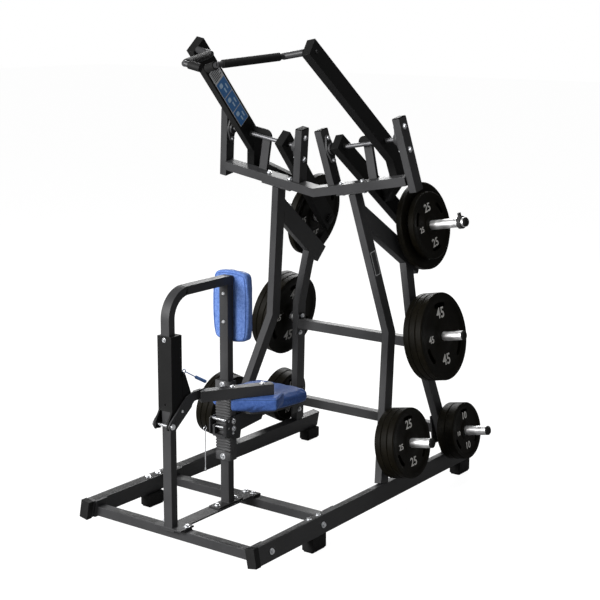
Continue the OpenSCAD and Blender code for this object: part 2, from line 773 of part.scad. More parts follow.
// tube bent inward from the beam end, then forward along the grip, then inward again
hand_a = [tip[0] - arm_t/2 + 3, tip[1] - 8, axle_h + reach_z - 20];
hand_b = [359, -428, axle_h + reach_z - 16];
hand_c = [243, -752, axle_h + reach_z + 34];
hand_d = [168, -740, axle_h + reach_z + 27];
function dirv3(p, q) = (q - p)/norm(q - p);
module handle_shape() {
  difference() {
    union() {
      rod(hand_a, hand_b + 9*dirv3(hand_a, hand_b), 16);
      rod(hand_b, hand_c + 8*dirv3(hand_b, hand_c), 14);
      rod(hand_c, hand_d, 13.9);
    }
    strut(knee, tip + [0, -3, 4], arm_t, arm_d + 20);
  }
  translate([tip[0] + arm_t/2, tip[1] + 22, tip[2] - 30]) rotate([0, 90, 0]) button(9, 5);
}
module right_handle() {
  color([0.3, 0.3, 0.31]) centred() top() handle_shape();
}
module left_handle() {
  color([0.3, 0.3, 0.31]) centred() left() top() handle_shape();
}
module grip_shape() {
  u = (hand_c - hand_b)/norm(hand_c - hand_b);
  v = (hand_d - hand_c)/norm(hand_d - hand_c);
  difference() {
    rod(hand_b + u*30, hand_c - u*20, 19);
    rod(hand_b, hand_c, 14.03);
  }
  difference() {
    rod(hand_c + v*22, hand_d + v*5, 19);
    rod(hand_c, hand_d + v*0.05, 14.03);
  }
}
module right_hand_grip() {
  color([0.04, 0.04, 0.04]) centred() top() grip_shape();
}
module left_hand_grip() {
  color([0.04, 0.04, 0.04]) centred() left() top() grip_shape();
}

// ---------- horns and plates ----------
horn_x0 = inner_x + arm_t/2;
horn_x1 = 545;
module arm_horn() {
  top() translate([0, horn_y, horn_z]) rotate([0, 90, 0]) {
    translate([0, 0, inner_x - arm_t/2 - 8]) cylinder(r = 16, h = arm_t + 10);
    translate([0, 0, inner_x - arm_t/2 - 10]) cylinder(r = 25, h = 10);
    translate([0, 0, horn_x0]) cylinder(r = horn_r, h = horn_x1 - horn_x0);
    translate([0, 0, horn_x0]) cylinder(r = 36, h = 38);
  }
}
module right_weight_horn() {
  color([0.85, 0.86, 0.88]) centred() arm_horn();
}
module left_weight_horn() {
  color([0.85, 0.86, 0.88]) centred() left() arm_horn();
}
stores = [[673, 644, r45], [238, 189, r25], [788, 117, r10]];
store_x = 54;
store_l = 265;
store_free = 172;
horn_free_r = horn_r - 0.3;
module store_horn(p) {
  side() translate([leg_t/2, p[0], p[1]]) rotate([0, 90, 0]) {
    cylinder(r = 36, h = 8);
    cylinder(r = horn_r, h = store_free - leg_t/2);
    cylinder(r = horn_free_r, h = store_l - 12);
  }
}
module storage_horns() {
  color([0.85, 0.86, 0.88]) centred() both() for (p = stores) store_horn(p);
}
// domed rubber cap seated on the end of a horn
module horn_cap() {
  cylinder(r = horn_free_r, h = 8);
  translate([0, 0, 8]) cylinder(r1 = horn_free_r, r2 = horn_free_r - 5, h = 5);
}
module storage_horn_caps() {
  color([0.04, 0.04, 0.04]) centred() both() for (p = stores)
    side() translate([leg_t/2 + store_l - 12, p[0], p[1]]) rotate([0, 90, 0]) horn_cap();
}
module right_horn_cap() {
  color([0.04, 0.04, 0.04]) centred() top() translate([horn_x1, horn_y, horn_z]) rotate([0, 90, 0])
    horn_cap();
}
module left_horn_cap() {
  left() right_horn_cap();
}
// curved slot on radius c, w half width, b half angle, with rounded ends
module slot_outline(c, w, b) {
  polygon(concat(
    [for (k = [-6:6]) (c + w)*[cos(b*k/6), sin(b*k/6)]],
    [for (k = [1:7]) c*[cos(b), sin(b)] + w*[cos(b + 22.5*k), sin(b + 22.5*k)]],
    [for (k = [-6:6]) (c - w)*[cos(b*k/6), -sin(b*k/6)]],
    [for (k = [1:7]) c*[cos(b), -sin(b)] + w*[cos(180 - b + 22.5*k), sin(180 - b + 22.5*k)]]));
}
// one plate lying on its back face: hub, dished web, rim and three grip slots, same both sides
module plate(r, t, a0) {
  difference() {
    rotate_extrude($fn = 72) polygon([[25.4, 1], [r*0.3, 1], [r*0.34, 6], [r*0.82, 5],
      [r*0.86, 0], [r - 4, 0], [r, 4], [r, t - 4], [r - 4, t], [r*0.86, t], [r*0.82, t - 5],
      [r*0.34, t - 6], [r*0.3, t - 1], [25.4, t - 1]]);
    for (a = [0:120:240]) rotate(a0 + a) translate([0, 0, -1]) linear_extrude(t + 2)
      slot_outline(r*0.72, r*0.055, 13);
  }
}
module store_stack(p, n, t) {
  side() translate([0, p[0], p[1]]) rotate([0, 90, 0])
    for (i = [0:n - 1]) translate([0, 0, store_x + i*(t + 0.4)]) plate(p[2], t, 180);
}
module storage_plates_45() {
  color([0.1, 0.1, 0.09]) centred() both() store_stack(stores[0], 3, plate_t);
}
module storage_plates_25() {
  color([0.1, 0.1, 0.09]) centred() both() store_stack(stores[1], 3, plate_t);
}
module storage_plates_10() {
  color([0.1, 0.1, 0.09]) centred() both() store_stack(stores[2], 2, plate_t*1.36);
}
module arm_stack() {
  top() translate([horn_x0 + 38.3, horn_y, horn_z]) rotate([0, 90, 0]) {
    plate(r45, plate_t, 0);
    translate([0, 0, plate_t + 0.4]) plate(r25, plate_t, 0);
  }
}
module right_arm_plates() {
  color([0.1, 0.1, 0.09]) centred() arm_stack();
}
module left_arm_plates() {
  color([0.1, 0.1, 0.09]) centred() left() arm_stack();
}
// clamp collar near the end of the loaded horn
module collar() {
  top() translate([horn_x1 - 34, horn_y, horn_z]) rotate([0, 90, 0]) {
    difference() {
      cylinder(r = 33, h = 22);
      translate([0, 0, -1]) cylinder(r = horn_r + 0.05, h = 24);
    }
    translate([-52, -9, 5]) cube([24, 18, 12]);
  }
}
module right_collar() {
  color([0.08, 0.08, 0.08]) centred() collar();
}
module left_collar() {
  color([0.08, 0.08, 0.08]) centred() left() collar();
}

left_rail();
right_rail();
rail_end_caps();
grip_strips();
feet();
front_cross_tube();
second_cross_tube();
spine_bar();
base_bolts();
front_post();
mast();
ratchet_plate();
mast_bolts();
seat_carriage();
seat_pins();
seat_latch();
seat_lanyard();
seat_board();
seat_pad();
chest_board();
chest_pad();
thigh_sleeve();
thigh_pivot_pin();
thigh_lever();
thigh_latch();
thigh_lanyard();
thigh_pad();
thigh_bolts();
left_front_leg();
right_front_leg();
left_rear_leg();
right_rear_leg();
left_diagonal();
right_diagonal();
stop_bumpers();
rear_cross_frame();
tower_bolts();
top_bar();
uprights();
bearing_flanges();
arm_axles();
left_arm();
right_arm();
left_handle();
right_handle();
left_hand_grip();
right_hand_grip();
left_weight_horn();
right_weight_horn();
storage_horns();
left_arm_plates();
right_arm_plates();
storage_plates_45();
storage_plates_25();
storage_plates_10();
left_collar();
right_collar();
storage_horn_caps();
left_horn_cap();
right_horn_cap();
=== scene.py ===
"""Looks for the plate loaded lat pulldown: procedural materials, stuffed pads, plate numbers,
panels, weld beads, a pale floor, soft light and the camera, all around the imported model."""
import json
import math

import bmesh
import bpy
from mathutils import Matrix, Vector
from mathutils.bvhtree import BVHTree


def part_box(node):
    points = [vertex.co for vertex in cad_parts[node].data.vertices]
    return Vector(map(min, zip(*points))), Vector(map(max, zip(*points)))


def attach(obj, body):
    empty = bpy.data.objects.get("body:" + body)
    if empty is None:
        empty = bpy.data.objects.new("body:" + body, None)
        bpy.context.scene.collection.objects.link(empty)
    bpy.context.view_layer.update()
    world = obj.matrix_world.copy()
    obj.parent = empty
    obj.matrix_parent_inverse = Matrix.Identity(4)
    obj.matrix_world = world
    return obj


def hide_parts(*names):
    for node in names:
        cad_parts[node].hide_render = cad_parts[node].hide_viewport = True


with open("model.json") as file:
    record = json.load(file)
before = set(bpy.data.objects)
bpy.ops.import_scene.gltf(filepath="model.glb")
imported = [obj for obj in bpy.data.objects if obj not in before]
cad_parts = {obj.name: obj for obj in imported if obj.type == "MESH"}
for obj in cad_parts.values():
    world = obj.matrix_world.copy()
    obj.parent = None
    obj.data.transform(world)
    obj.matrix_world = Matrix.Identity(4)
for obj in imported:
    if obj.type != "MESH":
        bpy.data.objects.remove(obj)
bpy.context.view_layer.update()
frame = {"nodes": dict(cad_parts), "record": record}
NODES = frame["nodes"]
MM = 0.001
scene = bpy.context.scene


# ---------- frames of the machine, metres ----------
TILT = math.radians(10.5)
MID_Y = 0.0465
TOP = (Matrix.Translation((0, 0.285 - MID_Y, 1.568)) @ Matrix.Rotation(TILT, 4, "X")
       @ Matrix.Rotation(-TILT, 4, "Y"))
SIDE = Matrix.Translation((0.499, -MID_Y, 0.156)) @ Matrix.Rotation(-TILT, 4, "Y")
AXLE_Y, AXLE_Z = 0.013, 0.200
LEVER, LEVER_A = 0.686, math.radians(52.6)
LEVER_X = 0.213
ARM_HALF = 0.0225
HORN = Vector((0, AXLE_Y + LEVER * math.cos(LEVER_A), AXLE_Z - LEVER * math.sin(LEVER_A)))


def place(base, p, side=1):
    """A point given in a tilted frame, on the right (+1) or mirrored to the left (-1)."""
    q = base @ Vector(p)
    return Vector((side * q.x, q.y, q.z))


def turn(base, v, side=1):
    """A direction given in a tilted frame, mirrored like place()."""
    q = base.to_3x3() @ Vector(v)
    return Vector((side * q.x, q.y, q.z)).normalized()


def basis(origin, x, z):
    """A frame at origin with the given x direction and z normal."""
    z = Vector(z).normalized()
    y = z.cross(Vector(x)).normalized()
    x = y.cross(z).normalized()
    m = Matrix.Identity(4)
    for i, v in enumerate((x, y, z)):
        for k in range(3):
            m[k][i] = v[k]
        m[i][3] = origin[i]
    return m


# ---------- materials ----------
class Tree:
    """Small helper that builds a node tree for one material."""

    def __init__(self, name):
        self.mat = bpy.data.materials.new(name)
        self.mat.use_nodes = True
        self.nt = self.mat.node_tree
        self.bsdf = self.nt.nodes["Principled BSDF"]
        self.coord = self.nt.nodes.new("ShaderNodeTexCoord").outputs["Object"]

    def node(self, kind, **values):
        n = self.nt.nodes.new(kind)
        for k, v in values.items():
            setattr(n, k, v)
        return n

    def link(self, a, b):
        self.nt.links.new(a, b)

    def noise(self, scale, detail=3.0, rough=0.5, stretch=None, distortion=0.0):
        n = self.node("ShaderNodeTexNoise")
        n.inputs["Scale"].default_value = scale
        n.inputs["Detail"].default_value = detail
        n.inputs["Roughness"].default_value = rough
        n.inputs["Distortion"].default_value = distortion
        src = self.coord
        if stretch:
            m = self.node("ShaderNodeMapping")
            m.inputs["Scale"].default_value = stretch
            self.link(src, m.inputs["Vector"])
            src = m.outputs["Vector"]
        self.link(src, n.inputs["Vector"])
        return n.outputs["Fac"]

    def voronoi(self, scale, feature="F1"):
        n = self.node("ShaderNodeTexVoronoi", feature=feature)
        n.inputs["Scale"].default_value = scale
        self.link(self.coord, n.inputs["Vector"])
        return n.outputs["Distance"]

    def remap(self, src, lo, hi, a=0.0, b=1.0):
        n = self.node("ShaderNodeMapRange")
        for key, v in (("From Min", lo), ("From Max", hi), ("To Min", a), ("To Max", b)):
            n.inputs[key].default_value = v
        self.link(src, n.inputs["Value"])
        return n.outputs["Result"]

    def math(self, op, a, b):
        n = self.node("ShaderNodeMath", operation=op)
        for i, v in enumerate((a, b)):
            if isinstance(v, (int, float)):
                n.inputs[i].default_value = v
            else:
                self.link(v, n.inputs[i])
        return n.outputs[0]

    def mix(self, fac, a, b):
        n = self.node("ShaderNodeMix", data_type="RGBA")
        for sock, v in ((n.inputs[0], fac), (n.inputs[6], a), (n.inputs[7], b)):
            if isinstance(v, (int, float)):
                sock.default_value = v
            elif isinstance(v, (tuple, list)):
                sock.default_value = (*v[:3], 1)
            else:
                self.link(v, sock)
        return n.outputs[2]

    def edge(self, radius):
        """(rounded normal, mask that is 1 near sharp edges)"""
        bev = self.node("ShaderNodeBevel", samples=4)
        bev.inputs["Radius"].default_value = radius
        geo = self.node("ShaderNodeNewGeometry")
        dot = self.node("ShaderNodeVectorMath", operation="DOT_PRODUCT")
        self.link(bev.outputs["Normal"], dot.inputs[0])
        self.link(geo.outputs["Normal"], dot.inputs[1])
        return bev.outputs["Normal"], self.remap(dot.outputs["Value"], 0.98, 0.8)

    def bump(self, height, strength, distance, normal=None):
        n = self.node("ShaderNodeBump")
        n.inputs["Strength"].default_value = strength
        n.inputs["Distance"].default_value = distance
        self.link(height, n.inputs["Height"])
        if normal is not None:
            self.link(normal, n.inputs["Normal"])
        return n.outputs["Normal"]

    def set(self, **inputs):
        """Fills inputs of the shader, with _ for a space in a name, and returns the material."""
        for k, v in inputs.items():
            sock = self.bsdf.inputs[k.replace("_", " ")]
            if isinstance(v, (int, float)):
                sock.default_value = v
            elif isinstance(v, (tuple, list)):
                sock.default_value = (*v[:3], 1)
            else:
                self.link(v, sock)
        return self.mat


def scaled(c, k):
    """Colour c made k times as bright."""
    return tuple(min(1.0, x * k) for x in c)


def powder(name, base, rough=0.42, edge_radius=0.0035, wear=(0.16, 0.16, 0.165), gloss=0.22):
    """Textured powder coat: fine orange peel, cloudy tone, dust and rubbed edges."""
    t = Tree(name)
    cloud = t.noise(5.0, 4)
    fine = t.noise(900.0, 2)
    grain = t.noise(260.0, 3, 0.6)
    colour = t.mix(t.remap(cloud, 0.3, 0.7), scaled(base, 0.82), scaled(base, 1.2))
    colour = t.mix(t.remap(grain, 0.52, 0.75, 0, 0.35), colour, scaled(base, 1.9))
    normal, mask = t.edge(edge_radius)
    rubbed = t.math("MULTIPLY", mask, t.remap(t.noise(38.0, 4, 0.7), 0.52, 0.68, 0.0, 0.55))
    colour = t.mix(rubbed, colour, wear)
    height = t.math("ADD", fine, t.math("MULTIPLY", grain, 1.4))
    return t.set(Base_Color=colour, Roughness=t.remap(cloud, 0.2, 0.8, rough - 0.06, rough + 0.1),
                 Normal=t.bump(height, 0.22, 0.0004, normal), Specular_IOR_Level=gloss)


def metal(name, base, rough=0.22, streak=(1, 1, 1), edge_radius=0.001, streak_scale=240.0):
    """Plated or turned steel with fine streaks, small scratches, dull patches and a painted
    highlight on sharp edges.
    """
    t = Tree(name)
    patch = t.noise(30.0, 3)
    lines = t.noise(streak_scale, 2, 0.5, streak)
    scratch = t.noise(60.0, 6, 0.75, (1, 14, 1), 1.5)
    normal, mask = t.edge(edge_radius)
    colour = t.mix(t.remap(patch, 0.35, 0.7), scaled(base, 0.88), scaled(base, 1.05))
    # painted highlight: the sharp edges made lighter in colour
    colour = t.mix(t.math("MULTIPLY", mask, 0.35), colour, scaled(base, 1.15))
    roughness = t.math("ADD", t.remap(patch, 0.3, 0.7, rough * 0.8, rough * 1.25),
                       t.remap(scratch, 0.6, 0.72, 0.0, 0.12))
    return t.set(Base_Color=colour, Metallic=1.0, Roughness=roughness,
                 Normal=t.bump(lines, 0.08, 0.0002, normal))


def rubber(name, base, rough=0.62, grit=320.0, bump=0.3, dust=(0.12, 0.115, 0.105), amount=0.2,
           gloss=0.12):
    """Moulded rubber: matte, faintly dusty in patches, with a painted highlight along the sharp
    edges.
    """
    t = Tree(name)
    cloud = t.noise(9.0, 4)
    fine = t.noise(grit, 3, 0.6)
    normal, mask = t.edge(0.0025)
    colour = t.mix(t.remap(cloud, 0.3, 0.7), scaled(base, 0.85), scaled(base, 1.2))
    colour = t.mix(t.remap(t.noise(22.0, 5, 0.65), 0.5, 0.75, 0, amount), colour, dust)
    # painted highlight: every sharp edge made lighter in colour
    colour = t.mix(t.math("MULTIPLY", mask, 0.25), colour, scaled(base, 2.2))
    return t.set(Base_Color=colour, Roughness=t.remap(fine, 0.3, 0.7, rough - 0.08, rough + 0.1),
                 Normal=t.bump(fine, bump, 0.0006, normal), Specular_IOR_Level=gloss)


def vinyl(name, base, light):
    """Mottled upholstery vinyl: two sizes of speckle over a fine leather grain."""
    t = Tree(name)
    big = t.noise(75.0, 5, 0.72)
    small = t.noise(330.0, 3, 0.6)
    cell = t.voronoi(620.0)
    blotch = t.math("ADD", t.math("MULTIPLY", big, 0.6), t.math("MULTIPLY", small, 0.4))
    colour = t.mix(t.remap(blotch, 0.40, 0.60), base, light)
    colour = t.mix(t.remap(small, 0.56, 0.70, 0, 0.55), colour, scaled(light, 1.25))
    colour = t.mix(t.remap(t.noise(4.0, 2), 0.35, 0.65, 0.0, 0.18), colour, scaled(base, 0.8))
    height = t.math("ADD", cell, t.math("MULTIPLY", small, 0.5))
    return t.set(Base_Color=colour, Roughness=t.remap(big, 0.3, 0.7, 0.42, 0.56),
                 Normal=t.bump(height, 0.25, 0.0005), Specular_IOR_Level=0.12)


def ink(name, base, rough=0.5):
    """Raised moulded number or printed panel: thin paint with worn spots."""
    t = Tree(name)
    fine = t.noise(180.0, 4, 0.7)
    colour = t.mix(t.remap(fine, 0.35, 0.65), scaled(base, 0.8), base)
    colour = t.mix(t.remap(t.noise(45.0, 5, 0.7), 0.58, 0.72, 0, 0.45), colour, scaled(base, 0.45))
    return t.set(Base_Color=colour, Roughness=rough, Normal=t.bump(fine, 0.15, 0.0003))


def tape(name):
    """Grit tape: coarse sparkling grains on black."""
    t = Tree(name)
    grain = t.voronoi(900.0)
    colour = t.mix(t.remap(grain, 0.15, 0.5), (0.10, 0.10, 0.10), (0.018, 0.018, 0.018))
    colour = t.mix(t.remap(t.noise(16.0, 5, 0.7), 0.5, 0.72, 0, 0.4), colour, (0.16, 0.16, 0.16))
    return t.set(Base_Color=colour, Roughness=0.85, Normal=t.bump(grain, 0.6, 0.0008))


def webbing(name, base):
    """Woven strap: fine diagonal bands."""
    t = Tree(name)
    w = t.node("ShaderNodeTexWave", wave_type="BANDS", bands_direction="DIAGONAL")
    w.inputs["Scale"].default_value = 420.0
    t.link(t.coord, w.inputs["Vector"])
    colour = t.mix(w.outputs["Fac"], scaled(base, 0.7), scaled(base, 1.3))
    return t.set(Base_Color=colour, Roughness=0.8, Normal=t.bump(w.outputs["Fac"], 0.4, 0.0005))


def plywood(name, base):
    """Painted board with a faint grain and wood showing through on rubbed edges."""
    t = Tree(name)
    grain = t.noise(40.0, 5, 0.6, (1, 9, 1))
    normal, mask = t.edge(0.0015)
    colour = t.mix(t.remap(grain, 0.35, 0.7), scaled(base, 0.8), scaled(base, 1.5))
    colour = t.mix(t.math("MULTIPLY", mask, 0.5), colour, (0.12, 0.09, 0.06))
    return t.set(Base_Color=colour, Roughness=0.6, Normal=t.bump(grain, 0.3, 0.0004, normal))


M = {
    "frame_paint": powder("frame_powder_coat", (0.024, 0.024, 0.025)),
    "arm_paint": powder("arm_powder_coat", (0.020, 0.020, 0.021), 0.45),
    "rack_steel": powder("rack_grey_paint", (0.042, 0.042, 0.043), 0.4, 0.001, (0.3, 0.3, 0.3)),
    "black_rubber": rubber("black_rubber", (0.006, 0.006, 0.006), dust=(0.05, 0.05, 0.05),
                           amount=0.08),
    "grip_tape": tape("grit_tape"),
    "zinc_bolts": metal("zinc_bolts", (0.66, 0.67, 0.69), 0.36),
    "bright_steel": metal("bright_steel", (0.72, 0.73, 0.75), 0.28, (14, 1, 1)),
    "handle_steel": powder("handle_satin_coat", (0.022, 0.022, 0.023), 0.4, 0.001,
                           (0.09, 0.09, 0.09), 0.2),
    "horn_chrome": metal("horn_chrome", (0.93, 0.93, 0.93), 0.44, (16, 1, 1)),
    "plate_rubber": rubber("plate_rubber", (0.0026, 0.0021, 0.0009), 0.5, 160.0, 0.35,
                           (0.016, 0.013, 0.007), 0.25, 0.07),
    "clamp_plastic": rubber("clamp_plastic", (0.03, 0.03, 0.03), 0.45, 500.0, 0.12),
    "pad_board": plywood("painted_plywood", (0.03, 0.03, 0.03)),
    "blue_strap": webbing("blue_webbing", (0.10, 0.22, 0.52)),
    "pad_vinyl": vinyl("blue_vinyl", (0.024, 0.056, 0.185), (0.056, 0.110, 0.30)),
}
# nodes that are darker or duller than the rest of their slot
DEEP_PAINT = powder("deep_black_coat", (0.005, 0.005, 0.005), 0.5, wear=(0.1, 0.1, 0.1),
                    gloss=0.1)
AXLE_STEEL = metal("dull_axle_steel", (0.14, 0.14, 0.145), 0.46, (14, 1, 1))
OWN = {"thigh_sleeve": DEEP_PAINT, "thigh_latch": DEEP_PAINT, "left_arm": DEEP_PAINT,
       "right_arm": DEEP_PAINT, "arm_axles": AXLE_STEEL}
# painted light: a brighter copy of the pad vinyl, so the chest pad reads as more lit than the
# other pads
CHEST_VINYL_PAINTED_LIGHT = vinyl("blue_vinyl_lit", (0.048, 0.095, 0.26), (0.112, 0.185, 0.42))
SEAM = vinyl("blue_piping", (0.022, 0.046, 0.13), (0.045, 0.085, 0.21))
NUMBER = ink("number_paint", (0.62, 0.61, 0.58))
PANEL_EDGE = ink("panel_border", (0.52, 0.53, 0.54))
PANEL_BLUE = ink("panel_blue", (0.045, 0.17, 0.42), 0.35)
PANEL_DARK = ink("panel_dark", (0.02, 0.02, 0.022), 0.35)
PANEL_MARK = ink("panel_marks", (0.45, 0.62, 0.80), 0.4)

SLOT_OF = {s["node"]: s["material_slot"] for s in frame["record"]["subparts"]}
# edge radius in millimetres by node, the rest get the small default
ROUND = {
    "left_rail": 1.4, "right_rail": 1.4, "front_cross_tube": 1.4, "second_cross_tube": 1.4,
    "spine_bar": 1.2, "front_post": 1.4, "mast": 1.4, "thigh_sleeve": 2.0, "left_arm": 4.0,
    "right_arm": 4.0, "rail_end_caps": 1.2, "feet": 4.0, "stop_bumpers": 5.0, "top_bar": 1.4,
    "uprights": 1.4, "left_collar": 2.0, "right_collar": 2.0, "seat_board": 1.5,
    "chest_board": 1.5, "thigh_latch": 2.0,
}
NO_BEVEL = {"grip_strips", "ratchet_plate", "seat_lanyard", "thigh_lanyard", "seat_pad",
            "chest_pad", "thigh_pad"}


def dress():
    """Gives each CAD node its material and small real edge rounds."""
    for name, obj in NODES.items():
        obj.data.materials.clear()
        obj.data.materials.append(OWN.get(name) or M[SLOT_OF[name]])
        weld = obj.modifiers.new("weld", "WELD")
        weld.merge_threshold = 1e-5
        if name not in NO_BEVEL:
            b = obj.modifiers.new("round", "BEVEL")
            b.width = ROUND.get(name, 0.8) * MM
            b.segments = 2
            b.limit_method = "ANGLE"
            b.angle_limit = math.radians(40)
            b.use_clamp_overlap = True
        for poly in obj.data.polygons:
            poly.use_smooth = True
        s = obj.modifiers.new("normals", "WEIGHTED_NORMAL")
        s.keep_sharp = False
        s.weight = 80


# ---------- small mesh makers ----------
def add_mesh(name, bm, material, body, smooth=True):
    """Turns bm into an object that rides on body, and frees bm."""
    me = bpy.data.meshes.new(name)
    bm.normal_update()
    bm.to_mesh(me)
    bm.free()
    if smooth:
        me.polygons.foreach_set("use_smooth", [True] * len(me.polygons))
    me.materials.append(material)
    obj = bpy.data.objects.new(name, me)
    scene.collection.objects.link(obj)
    if body:
        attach(obj, body)
    return obj


def tube(bm, points, radius, closed=False, segs=10, wobble=0.0):
    """Sweeps a round section along points, into bm."""
    n = len(points)
    rings = []
    normal = None
    for i, p in enumerate(points):
        a = points[(i - 1) % n] if closed or i else p
        b = points[(i + 1) % n] if closed or i < n - 1 else p
        d = (b - a).normalized()
        if normal is None:
            normal = d.orthogonal().normalized()
        normal = (normal - d * normal.dot(d)).normalized()
        other = d.cross(normal)
        r = radius * (1 + wobble * math.sin(i * 2.4))
        rings.append([bm.verts.new(p + (normal * math.cos(t) + other * math.sin(t)) * r)
                      for t in (2 * math.pi * k / segs for k in range(segs))])
    last = n if closed else n - 1
    for i in range(last):
        r0, r1 = rings[i], rings[(i + 1) % n]
        shift = 0
        if closed and i == n - 1:
            shift = min(range(segs), key=lambda s: (r0[0].co - r1[s].co).length)
        for k in range(segs):
            k1 = (k + 1) % segs
            bm.faces.new((r0[k], r0[k1], r1[(k1 + shift) % segs], r1[(k + shift) % segs]))
    if not closed:
        bm.faces.new(list(reversed(rings[0])))
        bm.faces.new(rings[-1])


def smooth_loop(points, rounds=3):
    """Corner cutting on a closed outline."""
    for _ in range(rounds):
        out = []
        for i, p in enumerate(points):
            q = points[(i + 1) % len(points)]
            out += [p.lerp(q, 0.25), p.lerp(q, 0.75)]
        points = out
    return points


def resample(points, step):
    """Evenly spaced points, about step apart, on a closed outline."""
    total = sum((points[(i + 1) % len(points)] - p).length for i, p in enumerate(points))
    count = max(8, int(total / step))
    out, want, walked = [], 0.0, 0.0
    for i, p in enumerate(points):
        q = points[(i + 1) % len(points)]
        d = (q - p).length
        while want <= walked + d and len(out) < count:
            out.append(p.lerp(q, (want - walked) / d if d else 0))
            want += total / count
        walked += d
    return out


def inset(points, amount):
    """Moves a counter clockwise outline inwards."""
    out = []
    n = len(points)
    for i, p in enumerate(points):
        d = (points[(i + 1) % n] - points[i - 1]).normalized()
        out.append(p + Vector((-d.y, d.x)) * amount)
    return out


# ---------- stuffed pads ----------
VOXEL = 0.0055
PRESSURE = 4.0
PUFF_LIMIT = 0.006
SIM_FRAMES = 18
HELD_BELOW = 0.004
SHRINK = 0.003
PIPE_R = 0.0021


def inflate(obj):
    """Voxel remesh, then a pressure cloth run whose result is capped and written to the mesh.
    The points that lie on the board are held."""
    mod = obj.modifiers.new("voxels", "REMESH")
    mod.mode = "VOXEL"
    mod.voxel_size = VOXEL
    apply_modifiers(obj)
    group = obj.vertex_groups.new(name="held")
    held = [v.index for v in obj.data.vertices if v.co.z < HELD_BELOW]
    group.add(held, 1.0, "REPLACE")
    start = [v.co.copy() for v in obj.data.vertices]
    cloth = obj.modifiers.new("cloth", "CLOTH")
    st = cloth.settings
    st.quality = 5
    st.mass = 0.3
    st.tension_stiffness = 22
    st.compression_stiffness = 16
    st.shear_stiffness = 8
    st.bending_stiffness = 2.5
    st.use_pressure = True
    st.uniform_pressure_force = PRESSURE
    st.effector_weights.gravity = 0
    st.vertex_group_mass = "held"
    cloth.collision_settings.use_self_collision = False
    cloth.point_cache.frame_start = 1
    cloth.point_cache.frame_end = SIM_FRAMES + 1
    for f in range(1, SIM_FRAMES + 1):
        scene.frame_set(f)
    ev = obj.evaluated_get(bpy.context.evaluated_depsgraph_get())
    moved = [v.co.copy() for v in ev.data.vertices]
    obj.modifiers.remove(cloth)
    scene.frame_set(1)
    for v, a, b in zip(obj.data.vertices, start, moved):
        d = b - a
        if d.length > PUFF_LIMIT:
            d *= PUFF_LIMIT / d.length
        v.co = a + d
    obj.vertex_groups.clear()


def apply_modifiers(obj):
    """Replaces the object's mesh by its evaluated one and clears the modifiers."""
    deps = bpy.context.evaluated_depsgraph_get()
    me = bpy.data.meshes.new_from_object(obj.evaluated_get(deps))
    old = obj.data
    obj.modifiers.clear()
    obj.data = me
    bpy.data.meshes.remove(old)


def cushion(name, outline, thick, matrix, body, node, seams, crown=0.006, soft=0.013,
            material=M["pad_vinyl"], piping=SEAM):
    """A stuffed pad. outline lies in the local plane at the board, thick runs along local +Z.
    seams is a list of (inset from the edge, 'front' or 'back') for the piping."""
    ring_src = resample(smooth_loop([Vector(p) for p in outline]), 0.008)
    levels = [(soft * 0.8, 0.0), (soft * 0.25, soft * 0.35), (0.0, soft), (0.001, thick * 0.5),
              (0.0, thick - soft), (soft * 0.3, thick - soft * 0.35),
              (soft, thick - 0.0005), (soft * 2.2, thick + crown * 0.25),
              (soft * 3.6, thick + crown * 0.6)]
    bm = bmesh.new()
    rings = []
    for inward, z in levels:
        rings.append([bm.verts.new((p.x, p.y, z)) for p in inset(ring_src, inward + SHRINK)])
    n = len(ring_src)
    for a, b in zip(rings, rings[1:]):
        for k in range(n):
            bm.faces.new((a[k], a[(k + 1) % n], b[(k + 1) % n], b[k]))
    mid = sum(ring_src, Vector((0, 0))) / n
    for ring, z, flip in ((rings[0], 0.0, True), (rings[-1], thick + crown, False)):
        c = bm.verts.new((mid.x, mid.y, z))
        for k in range(n):
            f = (ring[k], ring[(k + 1) % n], c)
            bm.faces.new(tuple(reversed(f)) if flip else f)
    obj = add_mesh(name, bm, material, None)
    inflate(obj)
    sub = obj.modifiers.new("sub", "SUBSURF")
    sub.levels = sub.render_levels = 1
    apply_modifiers(obj)
    low = 0.0002
    for v in obj.data.vertices:
        v.co.z = max(low, min(v.co.z, thick + crown + 0.004))
    obj.data.polygons.foreach_set("use_smooth", [True] * len(obj.data.polygons))
    obj.data.materials.clear()
    obj.data.materials.append(material)
    tree = BVHTree.FromPolygons([v.co for v in obj.data.vertices],
                                [p.vertices[:] for p in obj.data.polygons])
    for j, (amount, face) in enumerate(seams):
        z0, d = (thick + 0.05, -1) if face == "front" else (-0.05, 1)
        pts = []
        for p in resample(inset(ring_src, amount), 0.006):
            hit = tree.ray_cast(Vector((p.x, p.y, z0)), Vector((0, 0, d)))[0]
            if hit:
                pts.append(hit)
        sm = [(pts[i - 1] + pts[i] + pts[(i + 1) % len(pts)]) / 3 for i in range(len(pts))]
        bm = bmesh.new()
        tube(bm, [matrix @ p for p in sm], PIPE_R, closed=True, segs=8)
        add_mesh(f"{name}_piping_{j + 1}", bm, piping, body)
    obj.data.transform(matrix)
    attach(obj, body)
    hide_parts(node)


SEAT_HALF = 0.178
SEAT_FRONT, SEAT_Z, SEAT_LEAN = -0.400, 0.575, math.radians(3.5)


def seat_cushion():
    """Wide seat that leans back about its front edge."""
    thick, board = 0.056, 0.0125
    w = SEAT_HALF
    half = [(w - 0.066, -0.418), (w - 0.040, -0.398), (w, -0.270), (w, -0.040),
            (w - 0.018, 0.006), (w - 0.078, 0.026)]
    pts = half + [(-x, y) for x, y in reversed(half)]
    m = (Matrix.Translation((0, SEAT_FRONT - MID_Y, SEAT_Z)) @ Matrix.Rotation(-SEAT_LEAN, 4, "X")
         @ Matrix.Translation((0, -SEAT_FRONT, board)))
    cushion("seat_cushion", pts, thick, m, "seat", "seat_pad",
            [(0.006, "back")], crown=0.006, soft=0.018)


